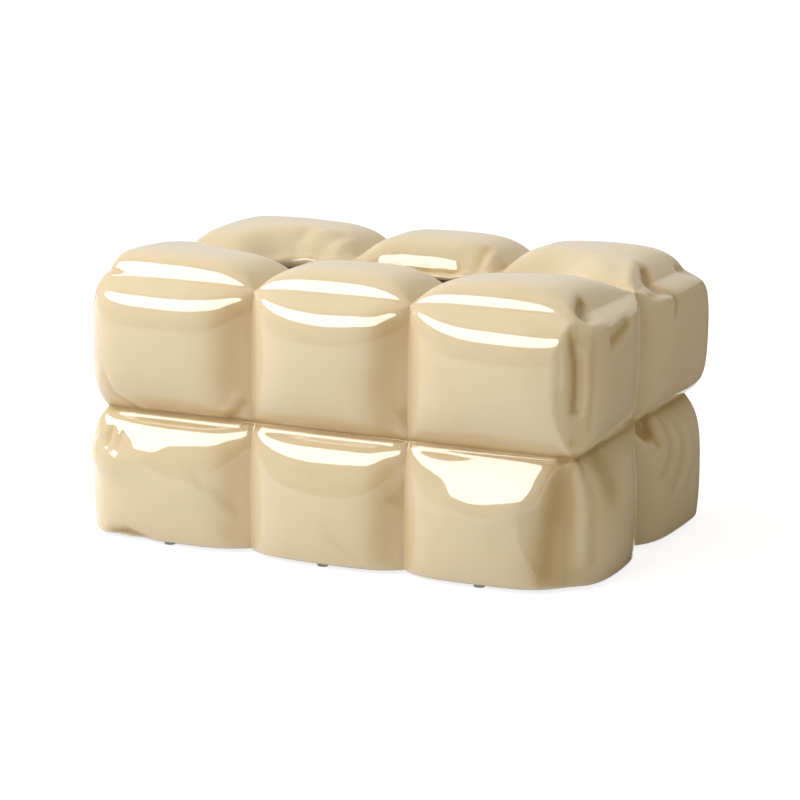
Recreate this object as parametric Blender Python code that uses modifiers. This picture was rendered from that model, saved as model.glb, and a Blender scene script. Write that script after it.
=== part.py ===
"""A glazed ceramic cover for a pack of tissues, in the form of stitched, inflated cushions.

Three cushions along, two deep and two high, slip-cast in one piece: open underneath, with a long
rolled slot in the top. Six small rubber pads stand it off the table. Metres, +Z up, +X to the
right, -Y to the front, with the origin on the table under the middle of the cover.
"""

import bmesh
import bpy
import numpy as np

# Driving dimensions: the seams between the cushions
CUSHION_LENGTH = 0.075
CUSHION_DEPTH = 0.0719
LOWER_TIER_HEIGHT = 0.0569
UPPER_TIER_HEIGHT = 0.0598

# How far the middle of a cushion stands out from the box of the seams
CREST_LOWER = 0.0200
CREST_UPPER = 0.0178
TOP_CREST = 0.0122
CREST_LOWER_SHARES = {"front": 1.0, "back": 1.0, "left": 0.66, "right": 0.76}
CREST_UPPER_SHARES = {"front": 1.0, "back": 1.0, "left": 0.36, "right": 0.60}

# How far the seams themselves stand out or up, halfway between their crossings
SEAM_LOWER = 0.0048
SEAM_UPPER = 0.0028
LEVEL_SEAM = 0.0008
SLOT_SEAM_DIP = 0.0040
TOP_EDGE_OUT = 0.0015
TOP_EDGE_UP = 0.0012
UPRIGHT_EDGE = 0.0050
SEAM_LOWER_SHARES = {"front": 1.0, "back": 1.0, "left": -0.30, "right": -0.30}
SEAM_UPPER_SHARES = {"front": 1.0, "back": 1.0, "left": -0.50, "right": -0.50}
TOP_EDGE_OUT_SHARES = {"front": 1.0, "back": 1.0, "left": 2.6, "right": -0.7}
TOP_EDGE_UP_SHARES = {"front": 1.0, "back": 1.0, "left": 2.2, "right": -0.5}
UPRIGHT_LOWER_SHARES = {"front_left": 1.0, "front_right": -0.66, "back_left": 1.0, "back_right": 0.82}
UPRIGHT_UPPER_SHARES = {"front_left": 0.97, "front_right": 0.69, "back_left": 1.4, "back_right": 1.5}

# How far the crossings of the seams stand out, and the corners of the top
LEVEL_CROSSING = 0.0002
TOP_CROSSING_OUT = -0.0007
TOP_CROSSING_UP = -0.0008
TOP_CORNER_OUT = -0.0004
TOP_CORNER_UP = -0.0007
SEAM_PULL = 0.009
SEAM_PULL_ROUNDNESS = 2.5

# How steeply a panel leaves a seam, and how squarely it then rounds over into its crest
TOP_EDGE_SLOPE = 1.75
TOP_EDGE_ROUNDNESS = 2.6
TOP_SEAM_SLOPE = 0.90
UPRIGHT_SEAM_SLOPE = 0.82
UPRIGHT_EDGE_SLOPE = 1.15
SEAM_ROUNDNESS = 2.2
BROW_SLOPE = 0.93
BROW_ROUNDNESS = 3.7
ABOVE_LEVEL_SLOPE = 0.85
ABOVE_LEVEL_ROUNDNESS = 2.5
BELOW_LEVEL_SLOPE = 0.70
BELOW_LEVEL_ROUNDNESS = 3.5
FOOT_SLOPE = 0.80
CORNER_FULLNESS = 1.7
LEAST_SWELL = 0.001
LOST_BELOW_FOOT = 0.015

# The dents where the seams are gathered, at the front corner of each right-hand cushion's top
DENT_DEPTH = 0.0050
DENT_RADIUS = 0.0080
DENT_INSET = 0.0015
DENT_SETBACK = 0.0120

# The wall
WALL = 0.005
FOOT_WALL = 0.006
FOOT_THICKENING_HEIGHT = 0.014
FOOT_ROUNDING = 0.0008
INNER_SOFTENING_SHARE = 0.6
WALL_TURN_POWER = 8.0

# The slot and its rolled lip
SLOT_LENGTH = 0.154
SLOT_WIDTH = 0.040
LIP_RADIUS = 0.0028
RIM_SINK = 0.0020
RIM_REACH = 0.017
RIM_POWER = 2.2
LIP_STEPS = 6
SLOT_GRID_REACH_SHARE = 1.38

# The pads
PAD_DIAMETER = 0.0050
PAD_HEIGHT = 0.0012
PAD_ROUNDING = 0.0003
PAD_SEAT_GAP = 0.0003
PAD_SIDES = 24

# The mesh
OUTER_CUTS = 12
INNER_CUTS = 6
CROWDING_SHARE = 0.11
PLACE_TOLERANCE = 0.00001
SMALLEST_CLIMB_SHARE = 0.0001

# Sizes that follow from the ones above
HALF_LENGTH = 1.5 * CUSHION_LENGTH
HALF_DEPTH = CUSHION_DEPTH
FOOT = PAD_HEIGHT + PAD_SEAT_GAP
LEVEL = FOOT + LOWER_TIER_HEIGHT
TOP = LEVEL + UPPER_TIER_HEIGHT
X_SEAMS = np.array([-HALF_LENGTH, -0.5 * CUSHION_LENGTH, 0.5 * CUSHION_LENGTH, HALF_LENGTH])
Y_SEAMS = np.array([-HALF_DEPTH, 0.0, HALF_DEPTH])
Z_SEAMS = np.array([FOOT - LOST_BELOW_FOOT, LEVEL, TOP])
MOUTH_HALF_LENGTH = 0.5 * SLOT_LENGTH + LIP_RADIUS
MOUTH_HALF_WIDTH = 0.5 * SLOT_WIDTH + LIP_RADIUS
SIDES = (
    ("left", 0, -1, HALF_LENGTH),
    ("right", 0, 1, HALF_LENGTH),
    ("front", 1, -1, HALF_DEPTH),
    ("back", 1, 1, HALF_DEPTH),
)
TOP_EDGE = (TOP_EDGE_SLOPE, TOP_EDGE_ROUNDNESS)
TOP_SEAM = (TOP_SEAM_SLOPE, SEAM_ROUNDNESS)
UPRIGHT_END = (UPRIGHT_EDGE_SLOPE, SEAM_ROUNDNESS)
UPRIGHT_SEAM = (UPRIGHT_SEAM_SLOPE, SEAM_ROUNDNESS)
UP_THE_SIDE = (
    ((FOOT_SLOPE, SEAM_ROUNDNESS), (BELOW_LEVEL_SLOPE, BELOW_LEVEL_ROUNDNESS)),
    ((ABOVE_LEVEL_SLOPE, ABOVE_LEVEL_ROUNDNESS), (BROW_SLOPE, BROW_ROUNDNESS)),
)


def clear_scene():
    for obj in list(bpy.data.objects):
        bpy.data.objects.remove(obj, do_unlink=True)


def new_collection(name):
    found = bpy.data.collections.new(name)
    bpy.context.scene.collection.children.link(found)
    return found


def glaze_material():
    """Warm cream glaze, fired glossy."""
    made = bpy.data.materials.new("cream_glaze")
    made.use_nodes = True
    shader = made.node_tree.nodes["Principled BSDF"]
    shader.inputs["Base Color"].default_value = (0.73, 0.60, 0.40, 1.0)
    shader.inputs["Roughness"].default_value = 0.12
    shader.inputs["Metallic"].default_value = 0.0
    return made


def pad_material():
    """Clear grey rubber."""
    made = bpy.data.materials.new("pad_rubber")
    made.use_nodes = True
    shader = made.node_tree.nodes["Principled BSDF"]
    shader.inputs["Base Color"].default_value = (0.55, 0.55, 0.53, 1.0)
    shader.inputs["Roughness"].default_value = 0.55
    shader.inputs["Metallic"].default_value = 0.0
    return made


def climb(inside, reach, roundness):
    """0 on a seam and nearly 1 beyond the reach: a straight climb, then rounded over."""
    share = np.maximum(inside / reach, SMALLEST_CLIMB_SHARE)
    return (1.0 + share**-roundness) ** (-1.0 / roundness)


def between(places, seams):
    """Which two seams each place is between, and how far it is from each."""
    cell = np.clip(np.searchsorted(seams, places, side="right") - 1, 0, len(seams) - 2)
    return cell, (places - seams[cell]).clip(0.0), (seams[cell + 1] - places).clip(0.0)


def seam_moves(middle, ends, away):
    """Moves along a seam: those of its middle, passing into those of the crossings at its ends."""
    moved = middle.copy()
    for end, distance in zip(ends, away):
        near = 1.0 - climb(distance, SEAM_PULL, SEAM_PULL_ROUNDNESS)
        moved += (end - middle) * near[:, None]
    return moved


def stitched(a, b, ways, crossings, on_a, on_b, crests, leaving_a, leaving_b, outward, softening):
    """Moves of a stitched sheet from the flat: its seams' moves mixed evenly, and the swell."""
    i, a_low, a_high = between(a, ways[0])
    j, b_low, b_high = between(b, ways[1])
    corners = [[crossings[i + m, j + n] for n in (0, 1)] for m in (0, 1)]
    seams = [seam_moves(on_a[i + m, j], corners[m], (b_low, b_high)) for m in (0, 1)]
    seams += [seam_moves(on_b[i, j + n], [corners[m][n] for m in (0, 1)], (a_low, a_high)) for n in (0, 1)]
    u = (a_low / (a_low + a_high))[:, None]
    v = (b_low / (b_low + b_high))[:, None]
    mixed = (1.0 - u) * seams[0] + u * seams[1] + (1.0 - v) * seams[2] + v * seams[3]
    mixed -= (1.0 - u) * ((1.0 - v) * corners[0][0] + v * corners[0][1])
    mixed -= u * ((1.0 - v) * corners[1][0] + v * corners[1][1])
    crest = crests[i, j]
    leaving = [leaving_a[i, 0], leaving_a[i, 1], leaving_b[j, 0], leaving_b[j, 1]]
    fullness = 1.0 - len(leaving)
    for seam, inside, how in zip(seams, (a_low, a_high, b_low, b_high), leaving):
        height = np.maximum(crest - seam @ outward, LEAST_SWELL)
        share = climb(inside, height / (how[:, 0] * softening), how[:, 1])
        fullness = fullness + share**-CORNER_FULLNESS
    fullness = fullness ** (-1.0 / CORNER_FULLNESS)
    return mixed + ((crest - mixed @ outward) * fullness)[:, None] * outward


def top_corner(side_x, side_y):
    return (side_x * TOP_CORNER_OUT, side_y * TOP_CORNER_OUT, TOP_CORNER_UP)


def top_moves(points, softening):
    """Moves of the top sheet, whose edges are shared with the four sides."""
    crossings = np.zeros((len(X_SEAMS), len(Y_SEAMS), 3))
    on_x = np.zeros((len(X_SEAMS), len(Y_SEAMS) - 1, 3))
    on_y = np.zeros((len(X_SEAMS) - 1, len(Y_SEAMS), 3))
    crossings[1:-1, 1, 2] = -SLOT_SEAM_DIP
    on_y[:, 1, 2] = -SLOT_SEAM_DIP
    for end, sign in ((0, -1), (-1, 1)):
        crossings[1:-1, end] = (0.0, sign * TOP_CROSSING_OUT, TOP_CROSSING_UP)
        crossings[end, 1] = (sign * TOP_CROSSING_OUT, 0.0, TOP_CROSSING_UP)
        for other, way in ((0, -1), (-1, 1)):
            crossings[end, other] = top_corner(sign, way)
    for side, axis, sign, _ in SIDES:
        end = 0 if sign < 0 else -1
        edge = np.zeros(3)
        edge[axis] = sign * TOP_EDGE_OUT * TOP_EDGE_OUT_SHARES[side]
        edge[2] = TOP_EDGE_UP * TOP_EDGE_UP_SHARES[side]
        if axis:
            on_y[:, end] = edge
        else:
            on_x[end] = edge
    crests = np.full((len(X_SEAMS) - 1, len(Y_SEAMS) - 1), TOP_CREST)
    along = np.array([(TOP_EDGE, TOP_SEAM), (TOP_SEAM, TOP_SEAM), (TOP_SEAM, TOP_EDGE)])
    deep = np.array([(TOP_EDGE, TOP_SEAM), (TOP_SEAM, TOP_EDGE)])
    upward = np.array([0.0, 0.0, 1.0])
    ways = (X_SEAMS, Y_SEAMS)
    x, y = points[:, 0], points[:, 1]
    moves = stitched(x, y, ways, crossings, on_x, on_y, crests, along, deep, upward, softening)
    beyond = np.clip(1.0 - mouth_distance(points) / RIM_REACH, 0.0, 1.0) ** RIM_POWER
    moves[:, 2] -= (moves[:, 2] + RIM_SINK) * beyond
    return moves


def side_moves(side, axis, sign, points, softening):
    """Moves of one upright sheet, two cushions high."""
    seams = X_SEAMS if axis else Y_SEAMS
    outward = np.zeros(3)
    outward[axis] = sign
    upward = np.array([0.0, 0.0, 1.0])
    crossings = np.zeros((len(seams), len(Z_SEAMS), 3))
    upright = np.zeros((len(seams), len(Z_SEAMS) - 1, 3))
    level = np.zeros((len(seams) - 1, len(Z_SEAMS), 3))
    crossings[:, -1] = outward * TOP_CROSSING_OUT + upward * TOP_CROSSING_UP
    for end, way in ((0, -1), (-1, 1)):
        corner = (way, sign) if axis else (sign, way)
        name = ("front" if corner[1] < 0 else "back") + ("_left" if corner[0] < 0 else "_right")
        both = np.array([corner[0], corner[1], 0.0])
        crossings[end, :-1] = both * LEVEL_CROSSING
        crossings[end, -1] = top_corner(*corner)
        upright[end, 0] = both * UPRIGHT_EDGE * UPRIGHT_LOWER_SHARES[name]
        upright[end, 1] = both * UPRIGHT_EDGE * UPRIGHT_UPPER_SHARES[name]
    upright[1:-1, 0] = outward * SEAM_LOWER * SEAM_LOWER_SHARES[side]
    upright[1:-1, 1] = outward * SEAM_UPPER * SEAM_UPPER_SHARES[side]
    level[:, :-1] = outward * LEVEL_SEAM
    level[:, -1] = outward * TOP_EDGE_OUT * TOP_EDGE_OUT_SHARES[side]
    level[:, -1] += upward * TOP_EDGE_UP * TOP_EDGE_UP_SHARES[side]
    crests = np.empty((len(seams) - 1, len(Z_SEAMS) - 1))
    crests[:, 0] = CREST_LOWER * CREST_LOWER_SHARES[side]
    crests[:, 1] = CREST_UPPER * CREST_UPPER_SHARES[side]
    between_ends = [(UPRIGHT_SEAM, UPRIGHT_SEAM)] * (len(seams) - 3)
    along = np.array([(UPRIGHT_END, UPRIGHT_SEAM), *between_ends, (UPRIGHT_SEAM, UPRIGHT_END)])
    ways = (seams, Z_SEAMS)
    a, z = points[:, 1 - axis], points[:, 2]
    up = np.array(UP_THE_SIDE)
    return stitched(a, z, ways, crossings, upright, level, crests, along, up, outward, softening)


def mouth_distance(points):
    """Distance in plan from the slot's rounded mouth, zero inside it."""
    straight = MOUTH_HALF_LENGTH - MOUTH_HALF_WIDTH
    over = np.clip(np.abs(points[:, 0]) - straight, 0.0, None)
    return np.clip(np.hypot(over, points[:, 1]) - MOUTH_HALF_WIDTH, 0.0, None)


def draw_in_to_mouth(points):
    """Moves the corners of the square hole in the top's grid onto the slot's rounded ends."""
    reach = np.maximum(np.abs(points[:, 0]) / MOUTH_HALF_LENGTH, np.abs(points[:, 1]) / MOUTH_HALF_WIDTH)
    x, y = np.abs(points[:, 0]) / reach, np.abs(points[:, 1]) / reach
    straight = MOUTH_HALF_LENGTH - MOUTH_HALF_WIDTH
    square = x * x + y * y
    spare = (x * straight) ** 2 - square * (straight**2 - MOUTH_HALF_WIDTH**2)
    round_end = (x * straight + np.sqrt(spare.clip(0.0))) / square
    scale = np.where(x * round_end > straight, round_end, 1.0)
    fade = np.clip((SLOT_GRID_REACH_SHARE - reach) / (SLOT_GRID_REACH_SHARE - 1.0), 0.0, 1.0)
    fade[points[:, 2] < TOP - PLACE_TOLERANCE] = 0.0
    scale = 1.0 + (scale - 1.0) * fade
    return points * np.stack([scale, scale, np.ones_like(scale)], axis=1)


def facing(points):
    """The outward direction at places on the box of the seams, turning smoothly at its edges."""
    shares = points / np.array([HALF_LENGTH, HALF_DEPTH, TOP])
    facing_out = np.sign(shares) * np.abs(shares) ** WALL_TURN_POWER
    return facing_out / np.linalg.norm(facing_out, axis=1, keepdims=True)


def dents(points):
    """How deep the gathered corners of the top are pushed in at each place."""
    depth = np.zeros(len(points))
    for front_seam in Y_SEAMS[:-1]:
        middle = np.array([HALF_LENGTH - DENT_INSET, front_seam + DENT_SETBACK, TOP])
        away = np.linalg.norm(points - middle, axis=1) / DENT_RADIUS
        depth += DENT_DEPTH * np.exp(-away * away)
    return depth


def skin(points, softening=1.0, walled=False):
    """Takes points on the box of the seams out to the cushions' surface, or to the wall's inside."""
    on_top = points[:, 2] > TOP - PLACE_TOLERANCE
    moved = points.copy()
    moved[on_top] += top_moves(points[on_top], softening)
    for side, axis, sign, limit in SIDES:
        here = (sign * points[:, axis] > limit - PLACE_TOLERANCE) & ~on_top
        moved[here] = points[here] + side_moves(side, axis, sign, points[here], softening)
    depth = dents(points)
    if walled:
        above_foot = np.clip((points[:, 2] - FOOT) / FOOT_THICKENING_HEIGHT, 0.0, 1.0)
        depth += WALL + (FOOT_WALL - WALL) * (1.0 - above_foot) ** 2
    return moved - facing(points) * depth[:, None]


def grid_lines(seams, cuts, edges_of_slot):
    """Cutting places between the seams, crowded towards them, with one at each edge of the slot."""
    share = np.linspace(0.0, 1.0, cuts + 1)[1:-1]
    share = share - CROWDING_SHARE * np.sin(2.0 * np.pi * share)
    lines = []
    for low, high in zip(seams[:-1], seams[1:]):
        lines.extend(low + (high - low) * share)
    lines = np.array(lines)
    for edge in edges_of_slot:
        lines[np.argmin(np.abs(lines - edge))] = edge
    return np.concatenate([lines, seams[1:-1]])


def seam_box(cuts):
    """The box of the seams, cut along them and between them, without its floor and slot."""
    mesh = bmesh.new()
    bmesh.ops.create_cube(mesh, size=1.0)
    bmesh.ops.scale(mesh, vec=(2 * HALF_LENGTH, 2 * HALF_DEPTH, TOP - FOOT), verts=mesh.verts)
    bmesh.ops.translate(mesh, vec=(0.0, 0.0, (TOP + FOOT) / 2), verts=mesh.verts)
    ways = (
        grid_lines(X_SEAMS, cuts, (-MOUTH_HALF_LENGTH, MOUTH_HALF_LENGTH)),
        grid_lines(Y_SEAMS, cuts, (-MOUTH_HALF_WIDTH, MOUTH_HALF_WIDTH)),
        grid_lines(np.array([FOOT, LEVEL, TOP]), cuts, ()),
    )
    for axis, lines in enumerate(ways):
        normal = [float(axis == i) for i in range(3)]
        for line in lines:
            place = [line * along for along in normal]
            whole = mesh.verts[:] + mesh.edges[:] + mesh.faces[:]
            bmesh.ops.bisect_plane(mesh, geom=whole, plane_co=place, plane_no=normal)
    unwanted = [face for face in mesh.faces if is_floor(face) or is_slot(face)]
    bmesh.ops.delete(mesh, geom=unwanted, context="FACES")
    reshape(mesh, draw_in_to_mouth)
    return mesh


def is_floor(face):
    return face.calc_center_median().z < FOOT + PLACE_TOLERANCE


def is_slot(face):
    middle = face.calc_center_median()
    if middle.z < TOP - PLACE_TOLERANCE:
        return False
    return abs(middle.x) < MOUTH_HALF_LENGTH and abs(middle.y) < MOUTH_HALF_WIDTH


def reshape(mesh, change):
    """Runs a change of place over every point of the mesh at once."""
    places = change(np.array([point.co[:] for point in mesh.verts]))
    for point, place in zip(mesh.verts, places):
        point.co = place


def rims(mesh):
    """The open edges round the foot and round the slot."""
    open_edges = [edge for edge in mesh.edges if edge.is_boundary]
    foot = [edge for edge in open_edges if edge.verts[0].co.z < LEVEL]
    slot = [edge for edge in open_edges if edge.verts[0].co.z > LEVEL]
    return foot, slot


def outward_in_plan(rim):
    """For each point of a rim, the level direction that points away from what the rim goes round."""
    beside = {}
    for edge in rim:
        for point in edge.verts:
            beside.setdefault(point, []).append(edge.other_vert(point).co)
    directions = {}
    for point, (one, other) in beside.items():
        along = np.array((one - other).xy)
        out = np.array([along[1], -along[0]]) / np.linalg.norm(along)
        directions[point] = out if out @ np.array(point.co.xy) > 0 else -out
    return directions


def neighbour_in(points, point):
    """The one of these points that an edge joins to this point."""
    beside = [edge.other_vert(point) for edge in point.link_edges]
    return next(other for other in beside if other in points)


def next_rim(mesh, rim, place_of):
    """Extrudes a rim once and puts each new point where place_of says."""
    old = {point for edge in rim for point in edge.verts}
    grown = bmesh.ops.extrude_edge_only(mesh, edges=rim)["geom"]
    new = {item for item in grown if isinstance(item, bmesh.types.BMVert)}
    for point in new:
        point.co = place_of(neighbour_in(old, point))
    return [item for item in grown if isinstance(item, bmesh.types.BMEdge) and new.issuperset(item.verts)]


def turn_under(mesh, rim, inwards):
    """Lifts a foot rim by the rounding and adds the ring that it stands on."""
    directions = outward_in_plan(rim)
    for point in directions:
        point.co.z = FOOT + FOOT_ROUNDING

    def place(point):
        out = directions[point] * (-FOOT_ROUNDING if inwards else FOOT_ROUNDING)
        return (point.co.x + out[0], point.co.y + out[1], FOOT)

    return next_rim(mesh, rim, place)


def roll_lip(mesh, rim):
    """Rolls the slot's rim over in a half round, from the outer skin to the inner one."""
    directions = outward_in_plan(rim)
    start = {point: np.array(point.co) for point in directions}
    plan = np.array([[*place[:2], TOP] for place in start.values()])
    inside = skin(plan, INNER_SOFTENING_SHARE, walled=True)[:, 2]
    inner = dict(zip(start, inside))
    sources = {point: point for point in directions}
    for step in range(1, LIP_STEPS):
        turn = np.pi * step / LIP_STEPS

        def place(point):
            first = sources[point]
            x, y, z = start[first]
            middle, half = (z + inner[first]) / 2, (z - inner[first]) / 2
            inset = LIP_RADIUS * np.sin(turn)
            out = directions[first]
            return (x - out[0] * inset, y - out[1] * inset, middle + half * np.cos(turn))

        before = {point for edge in rim for point in edge.verts}
        rim = next_rim(mesh, rim, place)
        after = {point for edge in rim for point in edge.verts}
        for point in after:
            sources[point] = sources[neighbour_in(before, point)]
    return rim


def join(mesh, other):
    """Copies another mesh's faces in, turned over, and gives back its points' new selves."""
    twins = {point: mesh.verts.new(point.co) for point in other.verts}
    for face in other.faces:
        mesh.faces.new([twins[point] for point in reversed(face.verts)])
    return twins


def in_order(rim):
    """The points of a closed rim, one after another, anticlockwise as seen from above."""
    beside = {}
    for edge in rim:
        for point in edge.verts:
            beside.setdefault(point, []).append(edge.other_vert(point))
    first = min(beside, key=lambda point: (point.co.x, point.co.y))
    ordered, before = [first], first
    here = min(beside[first], key=lambda point: point.co.y)
    while here is not first:
        ordered.append(here)
        before, here = here, next(point for point in beside[here] if point is not before)
    return ordered


def stitch(mesh, many, few):
    """Closes the ring between two rims, always taking the shorter next step along either one."""
    i = j = 0
    while i < len(many) or j < len(few):
        a, b = many[i % len(many)], few[j % len(few)]
        next_a, next_b = many[(i + 1) % len(many)], few[(j + 1) % len(few)]
        step_many = (next_a.co - b.co).length
        step_few = (next_b.co - a.co).length
        if j == len(few) or (i < len(many) and step_many <= step_few):
            mesh.faces.new((a, b, next_a))
            i += 1
        else:
            mesh.faces.new((a, b, next_b))
            j += 1


def make_cover(name, material, into):
    """The casting: an outer skin, an inner one, and the rims that join them."""
    outer = seam_box(OUTER_CUTS)
    inner = seam_box(INNER_CUTS)
    reshape(outer, skin)
    reshape(inner, lambda points: skin(points, INNER_SOFTENING_SHARE, walled=True))
    outer_foot, outer_slot = rims(outer)
    inner_foot, inner_slot = rims(inner)
    outer_foot = turn_under(outer, outer_foot, inwards=True)
    inner_foot = turn_under(inner, inner_foot, inwards=False)
    outer_slot = roll_lip(outer, outer_slot)
    twins = join(outer, inner)
    for rim, inner_rim in ((outer_foot, inner_foot), (outer_slot, inner_slot)):
        stitch(outer, in_order(rim), [twins[point] for point in in_order(inner_rim)])
    bmesh.ops.recalc_face_normals(outer, faces=outer.faces)
    mesh = bpy.data.meshes.new(name)
    outer.to_mesh(mesh)
    outer.free()
    inner.free()
    mesh.shade_smooth()
    mesh.materials.append(material)
    cover = bpy.data.objects.new(name, mesh)
    into.objects.link(cover)
    return cover


def rim_middle(x, side):
    """Where the middle of the foot's wall runs, at one place along the front or the back."""
    start = np.array([[x, side * HALF_DEPTH, FOOT]])
    outside = skin(start)
    inside = skin(start, INNER_SOFTENING_SHARE, walled=True)
    return ((outside + inside) / 2)[0]


def make_pad(name, x, side, material, into):
    """A stick-on rubber dot under the foot's rim."""
    mesh = bmesh.new()
    radius = PAD_DIAMETER / 2
    shape = {"radius1": radius, "radius2": radius, "depth": PAD_HEIGHT}
    bmesh.ops.create_cone(mesh, cap_ends=True, segments=PAD_SIDES, **shape)
    data = bpy.data.meshes.new(name)
    mesh.to_mesh(data)
    mesh.free()
    data.shade_smooth()
    data.materials.append(material)
    pad = bpy.data.objects.new(name, data)
    into.objects.link(pad)
    middle = rim_middle(x, side)
    pad.location = (middle[0], middle[1], PAD_HEIGHT / 2)
    rounding = pad.modifiers.new("rounded edge", "BEVEL")
    rounding.width = PAD_ROUNDING
    rounding.segments = 2
    rounding.limit_method = "ANGLE"
    return pad


def build():
    clear_scene()
    parts = new_collection("tissue_box_cover")
    make_cover("cover_shell", glaze_material(), parts)
    rubber = pad_material()
    for row, side in (("front", -1), ("back", 1)):
        for column, x in (("left", -CUSHION_LENGTH), ("centre", 0.0), ("right", CUSHION_LENGTH)):
            make_pad(f"pad_{row}_{column}", x, side, rubber, parts)


build()
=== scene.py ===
import math
import bpy
import numpy as np
from mathutils import Matrix, Vector


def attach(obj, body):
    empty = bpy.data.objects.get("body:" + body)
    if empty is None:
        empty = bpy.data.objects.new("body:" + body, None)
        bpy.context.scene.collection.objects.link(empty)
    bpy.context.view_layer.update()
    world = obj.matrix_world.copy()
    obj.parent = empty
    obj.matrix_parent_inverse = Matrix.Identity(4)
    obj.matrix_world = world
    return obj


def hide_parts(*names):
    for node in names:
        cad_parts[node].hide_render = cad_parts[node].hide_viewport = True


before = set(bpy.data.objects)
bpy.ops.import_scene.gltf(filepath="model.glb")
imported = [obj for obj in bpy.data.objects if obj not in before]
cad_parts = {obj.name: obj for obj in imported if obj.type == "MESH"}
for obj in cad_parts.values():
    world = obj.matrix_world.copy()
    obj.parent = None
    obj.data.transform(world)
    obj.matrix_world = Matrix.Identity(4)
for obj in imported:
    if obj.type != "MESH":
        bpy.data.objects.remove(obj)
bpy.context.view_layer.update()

# The cover's outer form. A stoneware casting from a plaster mould that was taken off a stitched,
# air-filled cushion: three panels along, two deep and two high. The seams stay close to a plain
# box, and each panel leaves them at a set slope and rounds over into its crest.
mm = 0.001
panel_length = 75.0 * mm
half_depth = 71.9 * mm
foot = 1.5 * mm
level = 58.4 * mm
top = 118.2 * mm
# the lower panels' own lowest seam is cut away with what lies below the foot
lost_below = 15.0 * mm
x_seams = panel_length * np.array([-1.5, -0.5, 0.5, 1.5])
y_seams = half_depth * np.array([-1.0, 0.0, 1.0])
z_seams = np.array([foot - lost_below, level, top])
# the axis that each upright side faces along, and which way
sides = {"front": (1, -1), "back": (1, 1), "left": (0, -1), "right": (0, 1)}
# how far the crests stand out from the box
crest_lower = {"front": 20.0 * mm, "back": 20.0 * mm, "left": 13.2 * mm, "right": 15.2 * mm}
crest_upper = {"front": 17.8 * mm, "back": 17.8 * mm, "left": 6.4 * mm, "right": 10.7 * mm}
crest_top = 12.2 * mm
# how far the seams have moved out of the box halfway along
seam_lower = {"front": 4.8 * mm, "back": 4.8 * mm, "left": -1.4 * mm, "right": -1.4 * mm}
seam_upper = {"front": 2.8 * mm, "back": 2.8 * mm, "left": -1.4 * mm, "right": -1.4 * mm}
seam_level = 0.8 * mm
slot_dip = 4.0 * mm
edge_out = {"front": 1.5 * mm, "back": 1.5 * mm, "left": 3.9 * mm, "right": -1.1 * mm}
edge_up = {"front": 1.2 * mm, "back": 1.2 * mm, "left": 2.6 * mm, "right": -0.6 * mm}
upright_lower = {(-1, -1): 5.0 * mm, (1, -1): -3.3 * mm, (-1, 1): 5.0 * mm, (1, 1): 4.1 * mm}
upright_upper = {(-1, -1): 4.9 * mm, (1, -1): 3.5 * mm, (-1, 1): 7.0 * mm, (1, 1): 7.5 * mm}
# how far the seams' crossings have moved, and how far along a seam that is felt
level_crossing = 0.2 * mm
top_crossing = (-0.7 * mm, -0.8 * mm)
top_corner = (-0.4 * mm, -0.7 * mm)
crossing_reach, crossing_roundness = 9 * mm, 2.5
# the slope at which a panel leaves a seam, and how late it rounds over
top_edge, top_right_edge, top_seam = (1.75, 2.6), (1.10, 2.3), (0.90, 2.2)
upright_edge, upright_seam = (1.15, 2.2), (0.82, 2.2)
up_the_side = (((0.80, 2.2), (0.70, 3.5)), ((0.85, 2.5), (0.93, 3.7)))
up_the_right = (((0.80, 2.2), (0.70, 3.5)), ((0.85, 2.5), (2.20, 3.2)))
joining = 1.7
least_share, least_swell = 1e-4, 1 * mm


def climb(inside, reach, roundness):
    """Share of the swell at a distance inside a seam: the share of the reach covered so far, kept
    under 1 by adding its inverse power to 1 and taking the inverse root."""
    share = np.maximum(inside / reach, least_share)
    return (1 + share ** -roundness) ** (-1 / roundness)


def between(places, seams):
    """Which two seams each place is between, and how far it is from the lower and the higher one."""
    cell = np.clip(np.searchsorted(seams, places, side="right") - 1, 0, len(seams) - 2)
    return cell, np.clip(places - seams[cell], 0, None), np.clip(seams[cell + 1] - places, 0, None)


def stitched(a, b, seams_a, seams_b, crossings, on_a, on_b, crests, leaving_a, leaving_b, out, softer):
    """Moves of a stitched sheet from the flat. Each seam moves by its own amount halfway along, and
    by the crossings' at its ends. The four seams' moves are mixed in straight shares and less the
    corners', as in a sheet drawn between four wires. On top comes the swell: the height left to the
    crest, times one climb for each seam, all four joined by a sum of inverse powers."""
    i, a_low, a_high = between(a, seams_a)
    j, b_low, b_high = between(b, seams_b)
    near_a, near_b = (
        [1 - climb(away, crossing_reach, crossing_roundness)[..., None] for away in pair]
        for pair in ((a_low, a_high), (b_low, b_high))
    )
    seams = []
    for m in (0, 1):
        middle = on_a[i + m, j]
        seams.append(middle + sum((crossings[i + m, j + n] - middle) * near_b[n] for n in (0, 1)))
    for n in (0, 1):
        middle = on_b[i, j + n]
        seams.append(middle + sum((crossings[i + m, j + n] - middle) * near_a[m] for m in (0, 1)))
    u, v = (a_low / (a_low + a_high))[..., None], (b_low / (b_low + b_high))[..., None]
    mixed = (1 - u) * seams[0] + u * seams[1] + (1 - v) * seams[2] + v * seams[3]
    mixed -= (1 - u) * ((1 - v) * crossings[i, j] + v * crossings[i, j + 1])
    mixed -= u * ((1 - v) * crossings[i + 1, j] + v * crossings[i + 1, j + 1])
    crest, joined = crests[i, j], -3.0
    leaving = (leaving_a[i, 0], leaving_a[i, 1], leaving_b[j, 0], leaving_b[j, 1])
    for seam, inside, how in zip(seams, (a_low, a_high, b_low, b_high), leaving):
        height = np.maximum(crest - seam @ out, least_swell)
        joined = joined + climb(inside, height / (how[..., 0] * softer), how[..., 1]) ** -joining
    swell = (crest - mixed @ out) * joined ** (-1 / joining)
    return mixed + swell[..., None] * out


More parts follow.
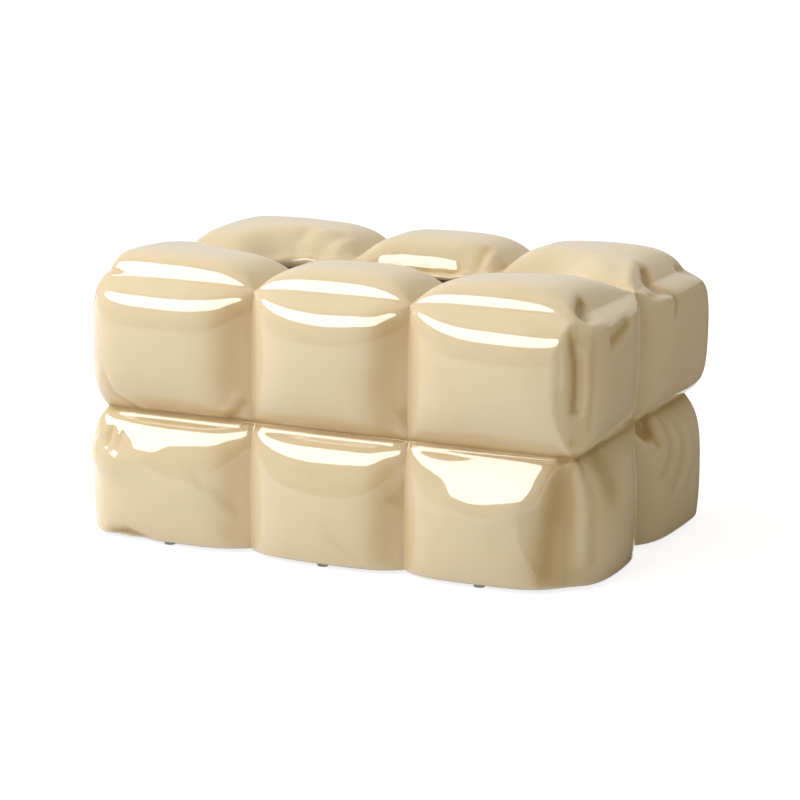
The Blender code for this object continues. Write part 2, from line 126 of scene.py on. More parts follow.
def top_moves(x, y, softer):
    """Moves of the top sheet, whose edges are shared with the four sides. Round the slot its height
    passes into one level rim, by a power of the nearness to the mouth."""
    crossings = np.zeros((4, 3, 3))
    crossings[1:3, 1, 2] = -slot_dip
    for k, sign in ((0, -1), (-1, 1)):
        crossings[1:3, k] = (0, sign * top_crossing[0], top_crossing[1])
        crossings[k, 1] = (sign * top_crossing[0], 0, top_crossing[1])
        for m, way in ((0, -1), (-1, 1)):
            crossings[k, m] = (sign * top_corner[0], way * top_corner[0], top_corner[1])
    on_x, on_y = np.zeros((4, 2, 3)), np.zeros((3, 3, 3))
    on_x[0], on_x[-1] = (-edge_out["left"], 0, edge_up["left"]), (edge_out["right"], 0, edge_up["right"])
    on_y[:, 0], on_y[:, 2] = (0, -edge_out["front"], edge_up["front"]), (0, edge_out["back"], edge_up["back"])
    on_y[:, 1, 2] = -slot_dip
    along = np.array([(top_edge, top_seam), (top_seam, top_seam), (top_seam, top_right_edge)])
    deep = np.array([(top_edge, top_seam), (top_seam, top_edge)])
    up = np.array([0.0, 0.0, 1.0])
    crests = np.full((3, 2), crest_top)
    moves = stitched(x, y, x_seams, y_seams, crossings, on_x, on_y, crests, along, deep, up, softer)
    nearness = np.clip(1 - mouth_distance(x, y) / rim_reach, 0, 1) ** rim_fading
    moves[..., 2] -= (moves[..., 2] + rim_sink) * nearness
    return moves


def side_moves(side, a, z, softer):
    """Moves of one upright sheet, two panels high."""
    axis, sign = sides[side]
    seams = x_seams if axis else y_seams
    count = len(seams)
    out, up = np.zeros(3), np.array([0.0, 0.0, 1.0])
    out[axis] = sign
    crossings, upright = np.zeros((count, 3, 3)), np.zeros((count, 2, 3))
    crossings[:, 2] = out * top_crossing[0] + up * top_crossing[1]
    for k, way in ((0, -1), (-1, 1)):
        corner = (way, sign) if axis else (sign, way)
        both = np.array([corner[0], corner[1], 0.0])
        crossings[k, :2] = both * level_crossing
        crossings[k, 2] = both * top_corner[0] + up * top_corner[1]
        upright[k] = both * upright_lower[corner], both * upright_upper[corner]
    upright[1:-1] = out * seam_lower[side], out * seam_upper[side]
    across = np.zeros((count - 1, 3, 3))
    across[:, :2] = out * seam_level
    across[:, 2] = out * edge_out[side] + up * edge_up[side]
    crests = np.tile((crest_lower[side], crest_upper[side]), (count - 1, 1))
    inner = [(upright_seam, upright_seam)] * (count - 3)
    along = np.array([(upright_edge, upright_seam), *inner, (upright_seam, upright_edge)])
    leaving = np.array(up_the_right if side == "right" else up_the_side)
    return stitched(a, z, seams, z_seams, crossings, upright, across, crests, along, leaving, out, softer)


# The slot. It is cut out of the top while the clay is soft, its rim is pressed to one level, and the
# wall is rolled over in a half round that the fingers meet.
mouth_half_length = 79.8 * mm
mouth_half_width = 22.8 * mm
lip_radius = 2.8 * mm
rim_sink = 2.0 * mm
rim_reach = 17.0 * mm
rim_fading = 2.2
grid_rounding_ends = 1.38
never_zero = 1e-6


def mouth_distance(x, y):
    """Distance in plan from a slot with round ends, zero inside it."""
    over = np.clip(np.abs(x) - (mouth_half_length - mouth_half_width), 0, None)
    return np.clip(np.hypot(over, y) - mouth_half_width, 0, None)


def round_the_ends(x, y):
    """Draws the square hole of the top's grid onto the slot's round ends: places on one ray from the
    middle are scaled together, and the change fades out away from the slot."""
    out = np.maximum(np.maximum(np.abs(x) / mouth_half_length, np.abs(y) / mouth_half_width), never_zero)
    px, py = np.abs(x) / out, np.abs(y) / out
    straight = mouth_half_length - mouth_half_width
    square = np.maximum(px * px + py * py, never_zero ** 2)
    spare = (px * straight) ** 2 - square * (straight ** 2 - mouth_half_width ** 2)
    to_arc = (px * straight + np.sqrt(np.clip(spare, 0, None))) / square
    scale = np.where(px * to_arc > straight, to_arc, 1.0)
    scale = 1 + (scale - 1) * np.clip((grid_rounding_ends - out) / (grid_rounding_ends - 1), 0, 1)
    return x * scale, y * scale


# The folds. Where the stitched cushion's skin was gathered at its seams and corners, the mould took
# up pits, pleats and puckers, and the glaze has since rounded them.
# Each is a path in millimetres on the box of the seams, its half width, and how deep it is.
def on_front(*places):
    """A path on the front, from places along and up."""
    return [(x, -half_depth / mm, z) for x, z in places]


def on_right(*places):
    """A path on the right-hand side, from places back and up."""
    return [(x_seams[-1] / mm, y, z) for y, z in places]


def on_top(*places):
    """A path on the top, from places along and back."""
    return [(x, y, top / mm) for x, y in places]


folds = [
    # the front right-hand corner of the top: a pit, the ridge beside it, the roll and the dent below
    ([*on_top((108.3, -53), (110.5, -59.5)), (112.4, -66, 118.0)], 2.0, 2.6),
    ([*on_top((105.6, -55), (107.6, -64)), *on_front((108.8, 114.5))], 2.6, -0.7),
    (on_right((-66.5, 115.4), (-56, 114.6)), 1.9, -0.7),
    (on_right((-52, 107.0), (-42, 108.8), (-33, 110.5)), 2.8, 1.7),
    # the upper tier's front right-hand upright edge
    (on_front((108.6, 113.2), (105.2, 107), (103.4, 100), (103.2, 85), (106.2, 72), (110, 62)), 2.4, -0.85),
    (on_front((105.6, 104), (105.3, 92), (105.8, 78)), 0.9, 0.3),
    (on_front((109.8, 112), (111.2, 101), (111.3, 88), (110.9, 80)), 1.6, 1.5),
    (on_right((-67.0, 110), (-67.4, 90), (-68.5, 72)), 1.3, 0.5),
    (on_front((110.4, 67), (110.6, 65.5)), 1.5, 1.0),
    # the back right-hand corner of the top: a pit between a ridge and a hooked fold
    ([*on_top((106.8, 29.5), (109.6, 24.5)), (112.3, 19.5, 118.1)], 2.4, 2.8),
    (on_top((101, 28.5), (103.5, 18), (106.2, 7)), 3.2, -1.3),
    (on_right((9, 115.3), (18, 115.4), (25.5, 114.2), (28, 110.5), (26, 104.5)), 1.7, 1.3),
    (on_right((10, 110.5), (19, 111.2), (23.5, 108.5)), 2.2, -0.8),
    (on_right((64, 118.2), (71.5, 118.2)), 3.4, 1.2),
    # folds running out of the left-hand pinch, the first crossing and the foot
    (on_front((-104.5, 75), (-101, 66), (-97, 61)), 1.8, 0.8),
    (on_front((-100.5, 74), (-96.5, 65), (-92, 61)), 1.8, -0.5),
    (on_front((-50, 60), (-44.5, 63), (-40.5, 68)), 1.7, 0.8),
    (on_front((-50, 64), (-46, 67), (-43, 72)), 1.7, -0.5),
    (on_front((-58, 34), (-50, 27), (-43, 19)), 1.8, 0.45),
    (on_front((-60, 29), (-52, 22), (-46, 15)), 1.8, -0.35),
    (on_front((5, 15), (12, 11), (19, 6)), 1.8, 0.4),
    (on_front((-101, 2.4), (-94, 4.4), (-85, 1.5)), 2.4, 2.2),
    # the right-hand flanks of the front panels, which fall away a little before they reach the seam
    (on_front((-45.5, 108), (-45.5, 68)), 7.0, 1.0),
    (on_front((29.5, 108), (28.5, 68)), 7.5, 1.2),
    (on_front((-45.5, 46), (-45.5, 8)), 6.0, 0.7),
    (on_front((30, 46), (29.5, 8)), 6.0, 0.9),
    # beads of glaze lying just under the crease between the tiers
    (on_front((-104, 57.3), (-44, 57.3)), 0.85, -0.75),
    (on_front((-33, 57.3), (31, 57.3)), 0.85, -0.75),
    (on_front((43, 57.3), (105, 57.3)), 0.85, -0.75),
    # swellings low in the first and third panels, and two small dimples beside the first
    (on_front((-110, 37), (-99, 35)), 5.5, -2.6),
    (on_front((-90, 38.5), (-82, 40)), 5.0, -1.1),
    (on_front((64, 36), (80, 32.5), (94, 38)), 6.0, -1.5),
    (on_front((-103.8, 49), (-103.4, 43.5)), 1.7, 0.9),
    (on_front((-98.6, 50), (-97.6, 44), (-98, 39)), 1.3, 0.7),
    # the lower tier's front right-hand upright edge and the hollow behind it
    (on_front((110, 57), (108.5, 48), (107, 30), (105, 8)), 5.0, 1.3),
    (on_right((-71, 56), (-68.5, 46), (-67, 36), (-67, 12)), 2.2, -1.2),
    (on_right((-68.5, 56), (-65.0, 46), (-63.2, 38), (-63, 12)), 1.8, 0.45),
    (on_right((-50, 50), (-50, 42)), 9.0, 1.3),
    # the pit at the back right of the lower tier, and the wrinkles round it
    (on_right((6, 54.6), (9.5, 51.4), (13.5, 54), (13.8, 57)), 2.9, 3.2),
    (on_right((13.5, 52), (15.6, 46)), 1.8, 1.3),
    (on_right((2, 51), (5.5, 47.5), (10, 47)), 1.6, -0.8),
    (on_right((23.1, 55.8), (22.1, 47.6), (19.4, 42.2), (13.5, 36.5)), 2.0, -0.65),
    (on_right((28.5, 54), (28, 46), (24, 39.5), (16, 32)), 2.4, 0.6),
    (on_right((34, 52), (33.8, 44), (28, 37), (18.5, 29)), 2.0, -0.65),
    (on_right((41, 49), (40, 40), (34, 32), (25, 23)), 2.4, 0.6),
    (on_right((48.3, 43), (47, 34), (38, 25)), 2.4, -0.45),
    # soft folds of the back panels where they go down to the slot
    (on_top((-65.5, 24), (-67, 37)), 3.2, 0.7),
    (on_top((-59, 24), (-58.5, 37)), 2.2, -0.6),
    (on_top((-52.5, 24), (-49.5, 38)), 2.6, 0.7),
    (on_top((-46, 25), (-43, 37)), 2.4, -0.6),
    (on_top((-25, 21.5), (-16, 23.0), (-8, 21.4), (0, 22.6), (8, 21.4), (15, 22.4)), 3.4, 1.9),
    (on_top((-25, 30), (-19, 28.6), (-12, 30.4), (-5, 28.8), (3, 30.4), (14, 29.2)), 3.6, -1.4),
    (on_top((-68, 20), (-60, 24.5), (-46, 25.5)), 4.5, -1.4),
    (on_top((26, 24), (26.5, 37)), 2.2, 0.8),
    (on_top((30.6, 24.5), (31.5, 34)), 1.8, -0.9),
    (on_top((35.5, 25), (37.5, 34)), 2.2, 0.6),
]
edge_power = 8
waviness = 0.07 * mm


def facing(points):
    """Outward direction on the box of the seams: a high power of each share of the way from the
    middle to a side, made one long, so that it turns smoothly at the edges."""
    shares = points / np.array([x_seams[-1], half_depth, top])
    direction = np.sign(shares) * np.abs(shares) ** edge_power
    return direction / np.linalg.norm(direction, axis=-1, keepdims=True)


def fold_depth(points):
    """Depth of all folds at places on the box. Each is its depth, fading by the square of the distance
    from its path over its half width, and at its ends by the distance past them."""
    total = np.zeros(points.shape[:-1])
    for path, width, depth in folds:
        knots = np.array(path, float) * mm
        nearest = np.full(points.shape[:-1], np.inf)
        for start, end in zip(knots[:-1], knots[1:]):
            run = end - start
            share = np.clip((points - start) @ run / (run @ run), 0, 1)
            away = np.linalg.norm(points - start - share[..., None] * run, axis=-1)
            nearest = np.minimum(nearest, away)
        total += depth * mm * np.exp(-(nearest / (width * mm)) ** 2)
    return total


def unevenness(points):
    """The slow waviness of a casting that was filled by air: a few sines at odd angles to each other,
    with lengths in millimetres."""
    x, y, z = (points[..., k] / mm for k in range(3))
    wave = np.sin(x / 9.1 + 1.3 * np.sin(z / 13.0) + y / 17.0) + np.sin(z / 7.3 - x / 21.0 + 0.4)
    return waviness * (wave + np.sin(y / 8.3 + x / 23.0 + 1.1) + np.sin((x + z) / 5.3 + 2.0) * 0.5)


def skin(side, points, softer=1.0):
    """Takes places on the plain box of the seams out to the surface of the panels. The softer inner
    skin has no folds."""
    x, y, z = points[..., 0], points[..., 1], points[..., 2]
    if side == "top":
        moves = top_moves(x, y, softer)
    else:
        moves = side_moves(side, x if sides[side][0] else y, z, softer)
    if softer < 1:
        return points + moves
    pressed = fold_depth(points) - unevenness(points)
    return points + moves - facing(points) * pressed[..., None]


# The pooled glaze and painted shade. A runny glaze is thin on the crests and gathers in creases and
# folds, where it looks deeper in colour. The same number also paints into the colour the shade that
# falls in the seams, in the folds and in the crease under the upper tier. Each place has a number
# for it, from none to all.
fillet_width, fillet_upright, fillet_level = 7 * mm, 0.18, 0.3
crease_width, crease_upright, crease_level = 1.8 * mm, 0.05, 0.5
full_fold_depth, least_on_fold_ridges = 2.2 * mm, -0.3
deeper_inside, deeper_on_lips = 0.3, 0.25


def pooling_and_painted_shade(side, points):
    """How much glaze has run together at each place, and how much shade is painted there: a wide and a
    narrow bell round the nearest seam, both stronger at the level seam, and as much again where a
    fold is deep."""
    x, y, z = points[..., 0], points[..., 1], points[..., 2]
    if side == "top":
        upright, flat = np.minimum(*between(x, x_seams)[1:]), np.inf
    else:
        a, seams = (x, x_seams) if sides[side][0] else (y, y_seams)
        upright, flat = np.minimum(*between(a, seams)[1:]), np.abs(z - level)

    def bell(away, width):
        return np.exp(-(away / width) ** 2)

    # painted shade: these bells darken the colour round each seam, and most at the crease under the upper tier,
    # as well as standing for pooled glaze
    fillet = np.maximum(fillet_upright * bell(upright, fillet_width), fillet_level * bell(flat, fillet_width))
    crease = crease_upright * bell(upright, crease_width) + crease_level * bell(flat, crease_width)
    # painted shade: deep folds are darkened as well as pooled, and the ridges of folds turn a little paler
    in_folds = np.clip(fold_depth(points) / full_fold_depth, least_on_fold_ridges, 1)
    return np.clip(fillet + crease + in_folds, 0, 1)


# The mesh of the casting: five grids for the outer skin, five coarser ones for the inner skin, and
# strips that close the foot and roll the slot's lip.
wall = 5.0 * mm
foot_wall = 6.0 * mm
foot_thickening = 14 * mm
foot_rounding = 0.8 * mm
inner_softness = 0.6
lip_steps = 8
crowding = 0.11
cuts_along, cuts_deep, cuts_up = 60, 58, 46
hair = 1e-7
rounded_to = 1e-6


def crowded(seams, cuts, edges=()):
    """Grid lines between seams, closer together near them: an even count less a sine of itself. The
    even line nearest to each edge of the slot goes onto that edge."""
    share = np.linspace(0, 1, cuts + 1)[:-1]
    share = share - crowding * np.sin(2 * np.pi * share)
    lines = (seams[:-1, None] + np.diff(seams)[:, None] * share).ravel()
    lines = np.append(lines, seams[-1])
    for edge in edges:
        lines[2 * np.argmin(np.abs(lines[::2] - edge))] = edge
    return lines


x_lines = crowded(x_seams, cuts_along, (-mouth_half_length, mouth_half_length))
y_lines = crowded(y_seams, cuts_deep, (-mouth_half_width, mouth_half_width))
z_lines = crowded(np.array([foot, level, top]), cuts_up)


def box_sides(step):
    """Places on the plain box, one grid for each side, every step-th line both ways."""
    xs, ys, zs = x_lines[::step], y_lines[::step], z_lines[::step]
    sheets = {}
    for side, y in (("front", -half_depth), ("back", half_depth)):
        u, v = np.meshgrid(xs, zs, indexing="ij")
        sheets[side] = np.stack([u, np.full_like(u, y), v], axis=-1)
    for side, x in (("left", x_seams[0]), ("right", x_seams[-1])):
        u, v = np.meshgrid(ys, zs, indexing="ij")
        sheets[side] = np.stack([np.full_like(u, x), u, v], axis=-1)
    u, v = round_the_ends(*np.meshgrid(xs, ys, indexing="ij"))
    sheets["top"] = np.stack([u, v, np.full_like(u, top)], axis=-1)
    return sheets


def drawn_in(points):
    """Each place pulled in by the wall, which thickens towards the foot by a square."""
    above = np.clip((points[..., 2] - foot) / foot_thickening, 0, 1)
    return points - facing(points) * (wall + (foot_wall - wall) * (1 - above) ** 2)[..., None]


def both_skins():
    """Points, amounts of pooled glaze and painted shade, faces and open loops of the outer and the
    inner skin. The sheets are joined in the points that have the same place on the plain box, to a
    thousandth of a millimetre."""
    blocks, homes, pooling_and_shade_blocks, faces, loops, count = [], [], [], [], {}, 0
    for step, flip in ((1, False), (2, True)):
        xs, ys = x_lines[::step], y_lines[::step]
        first, last = np.searchsorted(xs, (-mouth_half_length - hair, mouth_half_length - hair))
        low, high = np.searchsorted(ys, (-mouth_half_width - hair, mouth_half_width - hair))
        index = {}
        for side, places in box_sides(step).items():
            if step == 1:
                shape = skin(side, places)
            else:
                shape = skin(side, places, inner_softness) + drawn_in(places) - places
            n, m = shape.shape[:2]
            ids = count + np.arange(n * m).reshape(n, m)
            quads = np.stack([ids[:-1, :-1], ids[1:, :-1], ids[1:, 1:], ids[:-1, 1:]], axis=-1)
            if side == "top":
                kept = np.ones((n - 1, m - 1), bool)
                kept[first:last, low:high] = False
                quads = quads[kept]
            quads = quads.reshape(-1, 4)
            if (side in ("back", "left")) != flip:
                quads = quads[:, ::-1]
            index[side] = ids
            blocks.append(shape.reshape(-1, 3))
            pooling_and_shade_blocks.append(pooling_and_painted_shade(side, places).ravel() if step == 1 else np.full(n * m, deeper_inside))
            homes.append(np.column_stack([places.reshape(-1, 3), np.full(n * m, step * mm)]))
            faces.append(quads)
            count += n * m
        loops["foot", step] = np.concatenate([
            index["front"][:-1, 0], index["right"][:-1, 0],
            index["back"][:0:-1, 0], index["left"][:0:-1, 0],
        ])
        lid = index["top"]
        loops["slot", step] = np.concatenate([
            lid[first:last, low], lid[last, low:high], lid[last:first:-1, high], lid[first, high:low:-1],
        ])
    homes = np.round(np.concatenate(homes) / rounded_to).astype(np.int64)
    _, kept, same = np.unique(homes, axis=0, return_index=True, return_inverse=True)
    same = same.reshape(-1)
    faces = [same[quads] for quads in faces]
    loops = {name: same[loop] for name, loop in loops.items()}
    return np.concatenate(blocks)[kept], np.concatenate(pooling_and_shade_blocks)[kept], faces, loops


def closed_casting():
    """Outer and inner skins joined into one closed shell: the foot by flat strips, the slot by a
    half round whose inset follows a sine and whose height follows a cosine."""
    points, pooling_and_shade, faces, loops = both_skins()

    def ring(places):
        """Adds a closed row of points and gives their numbers."""
        nonlocal points, pooling_and_shade
        count = len(points)
        points = np.concatenate([points, places])
        pooling_and_shade = np.append(pooling_and_shade, np.full(len(places), deeper_on_lips))
        return np.arange(count, count + len(places))

    def strip(one, other):
        """Quads between two rows of equally many points."""
        faces.append(np.stack([one, np.roll(one, -1), np.roll(other, -1), other], axis=-1))

    def strip_to_half(many, few):
        """A quad and a triangle in turn between a row and one with half as many points."""
        odd, even, after = many[1::2], many[0::2], np.roll(many[0::2], -1)
        faces.append(np.stack([even, odd, few, few], axis=-1))
        faces.append(np.stack([odd, after, np.roll(few, -1), few], axis=-1))

    def outward(loop):
        """Level direction square to a closed row, on its right-hand side."""
        along = np.roll(points[loop], -1, axis=0) - np.roll(points[loop], 1, axis=0)
        level_out = np.stack([along[:, 1], -along[:, 0]], axis=1)
        return level_out / np.linalg.norm(level_out, axis=1, keepdims=True)

    outer, inner = loops["foot", 1], loops["foot", 2]
    out, back_in = outward(outer), outward(inner)
    stand, inner_stand = points[outer].copy(), points[inner].copy()
    stand[:, :2] -= out * foot_rounding
    inner_stand[:, :2] += back_in * foot_rounding
    points[outer, 2] += foot_rounding
    points[inner, 2] += foot_rounding
    stand_ids, inner_ids = ring(stand), ring(inner_stand)
    strip(stand_ids, outer)
    strip_to_half(np.roll(stand_ids[::-1], 1), np.roll(inner_ids[::-1], 1))
    strip(inner, inner_ids)

    outer, inner = loops["slot", 1], loops["slot", 2]
    into_slot = -outward(outer)
    start = points[outer]
    below = np.empty(len(outer))
    below[0::2] = points[inner, 2]
    below[1::2] = (points[inner, 2] + np.roll(points[inner, 2], -1)) / 2
    before = outer
    for step in range(1, lip_steps):
        turn = math.pi * step / lip_steps
        places = start.copy()
        places[:, :2] += into_slot * lip_radius * math.sin(turn)
        places[:, 2] = (start[:, 2] + below) / 2 + (start[:, 2] - below) / 2 * math.cos(turn)
        ids = ring(places)
        strip(before, ids)
        before = ids
    strip_to_half(before, inner)
    used, renumbered = np.unique(np.concatenate(faces), return_inverse=True)
    return points[used], renumbered.reshape(-1, 4), pooling_and_shade[used]


def mesh_object(name, points, quads):
    """A mesh from arrays; a quad whose last two corners are one point is a triangle."""
    mesh = bpy.data.meshes.new(name)
    corners = [list(dict.fromkeys(quad)) for quad in quads.tolist()]
    mesh.from_pydata(points.tolist(), [], corners)
    mesh.update()
    mesh.shade_smooth()
    made = bpy.data.objects.new(name, mesh)
    bpy.context.scene.collection.objects.link(made)
    return made


places, quads, pooling_and_shade = closed_casting()
cover = mesh_object("cover_casting", places, quads)
# painted shade: the amount of pooled glaze and painted shade is stored on each point of the casting
cover.data.attributes.new("pooling_and_painted_shade", "FLOAT", "POINT").data.foreach_set("value", pooling_and_shade)
softened = cover.modifiers.new("creases filled by glaze", "SMOOTH")
softened.factor = 0.5
softened.iterations = 3


# The glaze. A glossy cream, dipped and fired on: deeper in colour where it has pooled and where
# shade is painted into the seams, the folds and the crease under the upper tier, slightly mottled
# everywhere, and wiped off the foot's edge, where the bare clay shows.
def node_tools(tree):
    """Short ways to add a node, to set or link its inputs by name or by "at" and a number, and to do
    sums and mix colours."""
    def add(kind, **inputs):
        made = tree.nodes.new(kind)
        for name, value in inputs.items():
            give(made, name.replace("_", " "), value)
        return made

    def give(node, name, value):
        socket = node.inputs[int(name[3:]) if name.startswith("at ") else name]
        if isinstance(value, bpy.types.NodeSocket):
            tree.links.new(value, socket)
        else:
            socket.default_value = value

    def sums(operation, *values):
        made = tree.nodes.new("ShaderNodeMath")
        made.operation = operation
        for k, value in enumerate(values):
            give(made, f"at {k}", value)
        return made.outputs[0]

    def blend(share, first, second):
        made = tree.nodes.new("ShaderNodeMix")
        made.data_type = "RGBA"
        for socket, value in ((0, share), (6, first), (7, second)):
            give(made, f"at {socket}", value)
        return made.outputs[2]

    return add, give, sums, blend


def clouds_group():
    """A group that gives slow clouds and fine grain from one place: both noises on Object coordinates,
    the fine one as a height with its bump already made."""
    tree = bpy.data.node_groups.new("clouds and grain", "ShaderNodeTree")
    for name in ("Cloud size", "Grain size", "Grain depth"):
        tree.interface.new_socket(name, in_out="INPUT", socket_type="NodeSocketFloat")
    for name, kind in (("Cloud", "Float"), ("Grain", "Float"), ("Normal", "Vector")):
        tree.interface.new_socket(name, in_out="OUTPUT", socket_type=f"NodeSocket{kind}")
    add, give, _, _ = node_tools(tree)
    given, put_out = add("NodeGroupInput").outputs, add("NodeGroupOutput")
    place = add("ShaderNodeTexCoord").outputs["Object"]
    cloud = add("ShaderNodeTexNoise", Vector=place, Scale=given[0], Detail=3.0, Roughness=0.5)
    grain = add("ShaderNodeTexNoise", Vector=place, Scale=given[1], Detail=2.0, Roughness=0.6)
    bump = add("ShaderNodeBump", Distance=given[2], Height=grain.outputs[0], Strength=1.0)
    for name, node in (("Cloud", cloud), ("Grain", grain), ("Normal", bump)):
        give(put_out, name, node.outputs[0])
    return tree


def with_clouds(name, cloud_size, grain_size, grain_depth):
    """A new material whose normal has the grain, with its tools, its shader and the group's outputs."""
    made = bpy.data.materials.new(name)
    made.use_nodes = True
    tools = add, give, _, _ = node_tools(made.node_tree)
    surface = made.node_tree.nodes["Principled BSDF"]
    group = add("ShaderNodeGroup")
    group.node_tree = clouds
    for socket, value in (("Cloud size", cloud_size), ("Grain size", grain_size), ("Grain depth", grain_depth)):
        give(group, socket, value)
    give(surface, "Normal", group.outputs["Normal"])
    return made, tools, surface, group.outputs["Cloud"], group.outputs["Grain"]


clouds = clouds_group()
glaze_roughness, glaze_roughness_range, clay_roughness = 0.025, 0.03, 0.7
mottling, wiped_height, wiped_range, glaze_edge = 0.7, 1.8 * mm, 1.6 * mm, 0.3 * mm
glaze, (add, give, sums, blend), shader, cloud, grain = with_clouds("cream glaze", 26.0, 420.0, 0.012 * mm)
shader.inputs["IOR"].default_value = 1.55
# painted shade: this attribute holds the pooled glaze and painted shade, and deepens the colour below
pooling_and_shade_attribute = add("ShaderNodeAttribute")
pooling_and_shade_attribute.attribute_name = "pooling_and_painted_shade"
mottling_pooling_and_shade = sums("MULTIPLY_ADD", sums("SUBTRACT", cloud, 0.5), mottling, pooling_and_shade_attribute.outputs["Fac"])
ramp = add("ShaderNodeValToRGB", Fac=mottling_pooling_and_shade)
# painted shade: the deeper colours stand both for pooled glaze and for the shade that falls in creases and
# folds
glaze_and_painted_shade_colours = (
    (0.0, (0.745, 0.615, 0.415)),
    (0.25, (0.705, 0.560, 0.345)),
    (0.6, (0.600, 0.445, 0.225)),
    (1.0, (0.450, 0.300, 0.130)),
)
for k, (where, colour) in enumerate(glaze_and_painted_shade_colours):
    stop = ramp.color_ramp.elements[k] if k < 2 else ramp.color_ramp.elements.new(where)
    stop.position, stop.color = where, (*colour, 1)
height = add("ShaderNodeSeparateXYZ", Vector=add("ShaderNodeTexCoord").outputs["Object"]).outputs["Z"]
wiped_to = sums("MULTIPLY_ADD", cloud, wiped_range, wiped_height)
above_wiped = sums("SUBTRACT", height, wiped_to)
bare = add("ShaderNodeMapRange", Value=above_wiped, From_Max=glaze_edge, To_Min=1.0, To_Max=0.0).outputs[0]
clay = blend(grain, (0.62, 0.53, 0.42, 1), (0.74, 0.66, 0.55, 1))
give(shader, "Base Color", blend(bare, ramp.outputs[0], clay))
glossy = sums("MULTIPLY_ADD", cloud, glaze_roughness_range, glaze_roughness)
give(shader, "Roughness", sums("MULTIPLY_ADD", bare, clay_roughness, glossy))
cover.data.materials.append(glaze)
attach(cover, "root")
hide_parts("cover_shell")

# The pads. Six small moulded rubber dots, grey, which are stuck under the foot's rim and keep the
# casting off the table.
rubber, (_, give, sums, blend), shader, cloud, grain = with_clouds("pad rubber", 900.0, 4000.0, 0.03 * mm)
give(shader, "Base Color", blend(cloud, (0.50, 0.50, 0.48, 1), (0.60, 0.60, 0.58, 1)))
give(shader, "Roughness", sums("MULTIPLY_ADD", grain, 0.3, 0.4))
for name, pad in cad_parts.items():
    if name.startswith("pad_"):
        pad.data.materials.clear()
        pad.data.materials.append(rubber)

# The studio's table. It is white to the camera and in reflections, by a glow that leaves the cover's
# shadow on it, and plain pale paint to all other light.
bpy.ops.mesh.primitive_plane_add(size=30)
table = bpy.context.object
table.name = "table"
white = bpy.data.materials.new("white table")
white.use_nodes = True
add, give, sums, _ = node_tools(white.node_tree)
paint = white.node_tree.nodes["Principled BSDF"]
give(paint, "Base Color", (0.8, 0.8, 0.8, 1))
give(paint, "Roughness", 1)
give(paint, "Specular IOR Level", 0)
pale = add("ShaderNodeBsdfDiffuse", Color=(0.35, 0.35, 0.35, 1))
glow = add("ShaderNodeEmission", Strength=0.82)
both = add("ShaderNodeAddShader", at_0=pale.outputs[0], at_1=glow.outputs[0])
rays = add("ShaderNodeLightPath").outputs
seen = sums("MAXIMUM", rays["Is Camera Ray"], rays["Is Glossy Ray"])
seen = sums("MAXIMUM", seen, rays["Is Transmission Ray"])
choose = add("ShaderNodeMixShader", at_0=seen, at_1=paint.outputs[0], at_2=both.outputs[0])
give(white.node_tree.nodes["Material Output"], "Surface", choose.outputs[0])
table.data.materials.append(white)

# The studio's lamps: a wide key from the left, a weak warm fill from the right, and the long softbox
# whose image lies on the panels' shoulders.
lamp_distance = 1.4
lamps_aim = Vector((0, 0, 0.06))


def direction(azimuth, height):
    """The way out from the cover, by degrees round from the front to the right and degrees up."""
    a, e = math.radians(azimuth), math.radians(height)
    return Vector((math.sin(a) * math.cos(e), -math.cos(a) * math.cos(e), math.sin(e)))


def soft_lamp(name, azimuth, height, width, depth, radiance, in_glaze, tint=(1, 1, 1)):
    """A flat lamp on a sphere round the cover, facing it, whose power gives a plain radiance. It either
    lights the surfaces or is what the glaze mirrors."""
    lamp = bpy.data.lights.new(name, "AREA")
    lamp.shape = "ELLIPSE" if in_glaze else "RECTANGLE"
    lamp.size, lamp.size_y = width, depth
    lamp.energy = radiance * math.pi * width * depth
    lamp.color = tint
    made = bpy.data.objects.new(name, lamp)
    made.visible_diffuse, made.visible_glossy = not in_glaze, in_glaze
    bpy.context.scene.collection.objects.link(made)
    away = direction(azimuth, height)
    made.location = away * lamp_distance + lamps_aim
    made.rotation_euler = away.to_track_quat("Z", "Y").to_euler()


soft_lamp("key", -47, 41, width=2.4, depth=0.40, radiance=6.7, in_glaze=False)
soft_lamp("fill", 95, 15, width=1.0, depth=1.0, radiance=0.3, in_glaze=False, tint=(1.0, 0.91, 0.74))
soft_lamp("softbox in the glaze", -30, 41.5, width=2.7, depth=0.50, radiance=8.5, in_glaze=True)

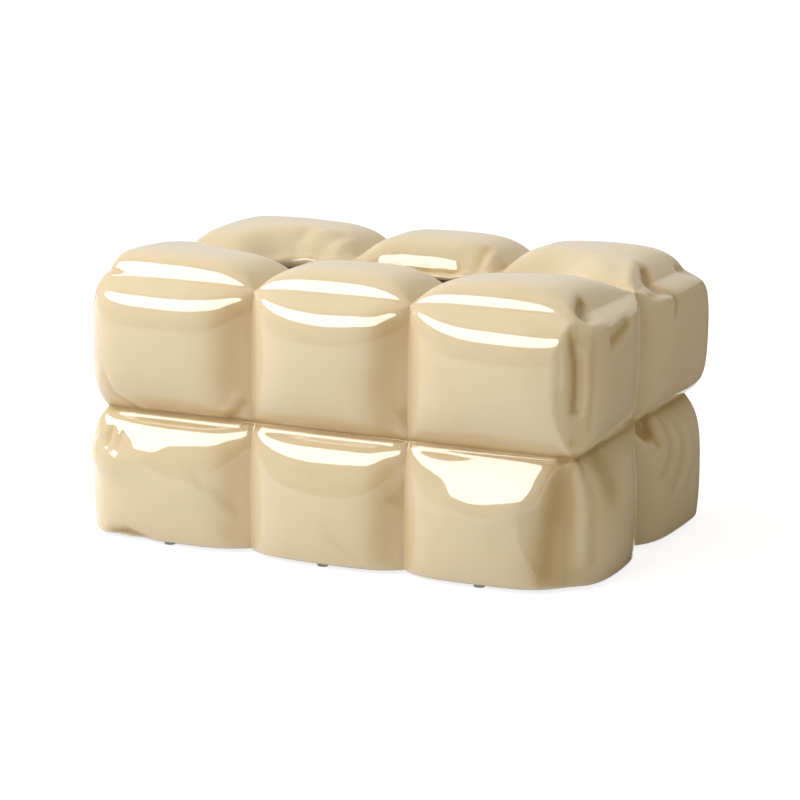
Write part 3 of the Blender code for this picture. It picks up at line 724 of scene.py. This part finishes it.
# The dark cards. They are only mirrored: one stands at the right and one lies on the table, so that
# the glaze of the shaded side doesn't mirror the white table.
black = bpy.data.materials.new("dark card")
black.use_nodes = True
black.node_tree.nodes["Principled BSDF"].inputs["Base Color"].default_value = (0.12, 0.09, 0.06, 1)
black.node_tree.nodes["Principled BSDF"].inputs["Roughness"].default_value = 1
cards = (
    ("dark card at the right", (0.17, 0.12, 0.07), (math.radians(90), 0, math.radians(112)), (0.60, 0.14, 1)),
    ("dark card on the table", (0.27, 0.10, 0.0004), (0, 0, 0), (0.30, 0.70, 1)),
)
for name, place, turn, size in cards:
    bpy.ops.mesh.primitive_plane_add(size=1, location=place, rotation=turn)
    card = bpy.context.object
    card.name, card.scale = name, size
    card.data.materials.append(black)
    card.visible_camera = card.visible_diffuse = card.visible_shadow = False

# The room. It is bright towards the back left and overhead, and dim and a little warm at the right.
back_share, left_share, room_fading = 0.84, 0.54, 1.8
side_light, dimmest, ceiling_light = 0.68, 0.04, 0.45
world = bpy.data.worlds.new("room")
bpy.context.scene.world = world
world.use_nodes = True
add, give, sums, blend = node_tools(world.node_tree)
room = world.node_tree.nodes["Background"]
way = add("ShaderNodeSeparateXYZ", Vector=add("ShaderNodeTexCoord").outputs["Generated"]).outputs
towards_left = sums("SUBTRACT", sums("MULTIPLY", way["Y"], back_share), sums("MULTIPLY", way["X"], left_share))
from_none = sums("MAXIMUM", sums("MULTIPLY_ADD", towards_left, 0.5, 0.5), 0.0)
lit_side = sums("POWER", from_none, room_fading)
overhead = sums("MULTIPLY", sums("MAXIMUM", way["Z"], 0.0), ceiling_light)
give(room, "Strength", sums("ADD", sums("MULTIPLY_ADD", lit_side, side_light, dimmest), overhead))
give(room, "Color", blend(lit_side, (1.0, 0.93, 0.78, 1), (1.0, 0.99, 0.965, 1)))

# The camera: a long lens in front, a little to the right and slightly above.
focal_length_in_pixels, picture_width, sensor_width = 2334.8, 800, 36
camera_azimuth, camera_height = 24.95, 12.69
roll = math.radians(0.41)
stand = Vector((442.9, -953.6, 294.7)) * mm
camera = bpy.data.objects.new("camera", bpy.data.cameras.new("camera"))
bpy.context.scene.collection.objects.link(camera)
back = direction(camera_azimuth, camera_height)
right = Vector((math.cos(math.radians(camera_azimuth)), math.sin(math.radians(camera_azimuth)), 0))
up = back.cross(right)
turned_right = right * math.cos(roll) + up * math.sin(roll)
turned_up = up * math.cos(roll) - right * math.sin(roll)
turned = Matrix((turned_right, turned_up, back)).transposed().to_4x4()
camera.matrix_world = Matrix.Translation(stand) @ turned
camera.data.sensor_width = sensor_width
camera.data.lens = focal_length_in_pixels * sensor_width / picture_width
bpy.context.scene.camera = camera
bpy.context.scene.view_settings.view_transform = "Standard"
